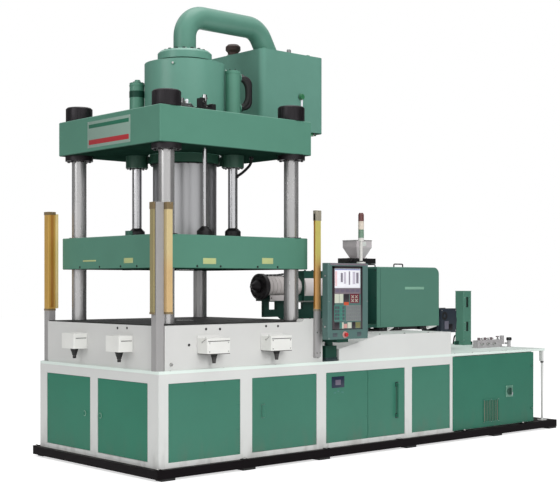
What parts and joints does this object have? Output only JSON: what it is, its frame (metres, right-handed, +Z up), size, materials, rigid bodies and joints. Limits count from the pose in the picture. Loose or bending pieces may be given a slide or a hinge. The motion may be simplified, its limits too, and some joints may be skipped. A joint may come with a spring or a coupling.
{
  "type": "injection moulding machine",
  "caption": "Vertical four-column clamp press with a horizontal injection unit, oil tank, control panel and cabinet base, for moulding rubber or plastic parts.",
  "frame": {"origin": "on the floor, in the middle of the machine's footprint box", "axes": "+X along the long front towards the electric cabinet, +Y away from the operator's side, +Z up"},
  "size_m": [5.606, 2.144, 4.275],
  "materials": {
    "plinth_black": "black paint, satin",
    "rubber_feet": "moulded rubber",
    "frame_white": "white powder coat, light orange peel",
    "panel_green": "green powder coat",
    "platen_steel": "ground and oiled",
    "connector_grey": "grey hammer paint",
    "column_chrome": "hard chrome, ground",
    "nut_blue_steel": "blued steel",
    "press_green": "green machine paint, gloss",
    "breather_steel": "pressed steel",
    "pipe_black": "black enamelled steel pipe",
    "black_plastic": "moulded",
    "valve_steel": "machined",
    "curtain_yellow": "yellow anodised profile",
    "rail_steel": "ground rail",
    "plate_zinc": "zinc plated",
    "pump_blue": "machine paint",
    "terminal_grey": "grey powder coat",
    "panel_teal": "teal powder coat",
    "ram_steel": "ground ram",
    "rod_steel": "hard chrome",
    "unit_dark_green": "dark green paint",
    "barrel_steel": "heat-tinted steel",
    "nozzle_black": "blackened",
    "unit_green": "green powder coat",
    "hopper_steel": "folded sheet",
    "tower_white": "moulded lenses",
    "stop_red": "moulded",
    "button_pink": "moulded",
    "switch_black": "moulded",
    "valve_handle": "moulded handle"
  },
  "bodies": {
    "frame": {"plinth": "plinth_black", "levelling_pads": "rubber_feet", "base_front_frame": "frame_white", "base_rear_frame": "frame_white", "base_end_frame": "frame_white", "base_deck": "frame_white", "cover_panels": "panel_green", "lower_block": "frame_white", "lower_platen": "platen_steel", "connector_boxes": "connector_grey", "columns": "column_chrome", "column_nuts": "nut_blue_steel", "column_collars": "nut_blue_steel", "crown": "press_green", "main_cylinder": "press_green", "cylinder_cap": "press_green", "ram_gland": "press_green", "prefill_pipe": "press_green", "oil_tank": "press_green", "tank_breather": "breather_steel", "return_cylinders": "press_green", "pressure_pipe": "pipe_black", "stroke_sensor": "black_plastic", "valve_block": "valve_steel", "curtain_posts": "frame_white", "light_curtains": "curtain_yellow", "injection_bed": "frame_white", "slide_rails": "rail_steel", "electric_cabinet": "frame_white", "mounting_plate": "plate_zinc", "pump_unit": "pump_blue", "support_leg": "frame_white", "terminal_box": "terminal_grey", "water_manifold": "valve_steel", "panel_post": "panel_teal"},
    "platen": {"moving_platen": "press_green", "main_ram": "ram_steel", "return_rods": "rod_steel", "stroke_rod": "rod_steel"},
    "injection_unit": {"injection_carriage": "unit_dark_green", "slide_blocks": "black_plastic", "injection_barrel": "barrel_steel", "nozzle_head": "nozzle_black", "unit_cover": "unit_green", "feed_hopper": "hopper_steel", "drive_motor": "unit_green"},
    "panel": {"control_panel": "panel_teal", "panel_arm": "panel_teal", "signal_tower": "tower_white"},
    "stop_button": {"emergency_stop": "stop_red"},
    "cycle_button": {"start_button": "button_pink"},
    "door_1": {"front_door_left": "panel_green"},
    "door_2": {"front_door_right": "panel_green"},
    "door_3": {"end_door_front": "panel_green"},
    "door_4": {"end_door_rear": "panel_green"},
    "door_5": {"cabinet_door": "panel_green"},
    "switch": {"main_switch": "switch_black"},
    "valve_1": {"water_valve_1": "valve_handle"},
    "valve_2": {"water_valve_2": "valve_handle"},
    "valve_3": {"water_valve_3": "valve_handle"}
  },
  "joints": [
    {"name": "clamp_stroke", "type": "slide", "parent": "frame", "child": "platen", "axis": [0, 0, 1], "range_m": [-0.03, 0.38]},
    {"name": "injection_slide", "type": "slide", "parent": "frame", "child": "injection_unit", "axis": [1, 0, 0], "range_m": [-0.25, 0.1]},
    {"name": "panel_swivel", "type": "hinge", "parent": "frame", "child": "panel", "pos_m": [-0.691, -0.842, 1.118], "axis": [0, 0, 1], "range_deg": [-10, 45]},
    {"name": "stop_travel", "type": "slide", "parent": "panel", "child": "stop_button", "axis": [0, 1, 0], "range_m": [0, 0.005], "stiffness_N_per_m": 1500},
    {"name": "cycle_travel", "type": "slide", "parent": "panel", "child": "cycle_button", "axis": [0, 1, 0], "range_m": [0, 0.004], "stiffness_N_per_m": 800},
    {"name": "front_door_left_hinge", "type": "hinge", "parent": "frame", "child": "door_1", "pos_m": [-0.904, -0.882, 0.47], "axis": [0, 0, 1], "range_deg": [0, 100]},
    {"name": "front_door_right_hinge", "type": "hinge", "parent": "frame", "child": "door_2", "pos_m": [-0.2, -0.882, 0.47], "axis": [0, 0, -1], "range_deg": [0, 100]},
    {"name": "end_door_front_hinge", "type": "hinge", "parent": "frame", "child": "door_3", "pos_m": [-2.681, -0.724, 0.47], "axis": [0, 0, 1], "range_deg": [0, 100]},
    {"name": "end_door_rear_hinge", "type": "hinge", "parent": "frame", "child": "door_4", "pos_m": [-2.681, 0.887, 0.47], "axis": [0, 0, -1], "range_deg": [0, 100]},
    {"name": "cabinet_door_hinge", "type": "hinge", "parent": "frame", "child": "door_5", "pos_m": [1.057, -0.886, 0.47], "axis": [0, 0, -1], "range_deg": [0, 100]},
    {"name": "main_switch_turn", "type": "hinge", "parent": "door_5", "child": "switch", "pos_m": [1.994, -0.892, 0.462], "axis": [0, 1, 0], "range_deg": [0, 90]},
    {"name": "water_valve_1_turn", "type": "hinge", "parent": "frame", "child": "valve_1", "pos_m": [2.159, -0.342, 0.99], "axis": [0, 0, 1], "range_deg": [0, 90]},
    {"name": "water_valve_2_turn", "type": "hinge", "parent": "frame", "child": "valve_2", "pos_m": [2.269, -0.342, 0.99], "axis": [0, 0, 1], "range_deg": [0, 90]},
    {"name": "water_valve_3_turn", "type": "hinge", "parent": "frame", "child": "valve_3", "pos_m": [2.379, -0.342, 0.99], "axis": [0, 0, 1], "range_deg": [0, 90]}
  ]
}
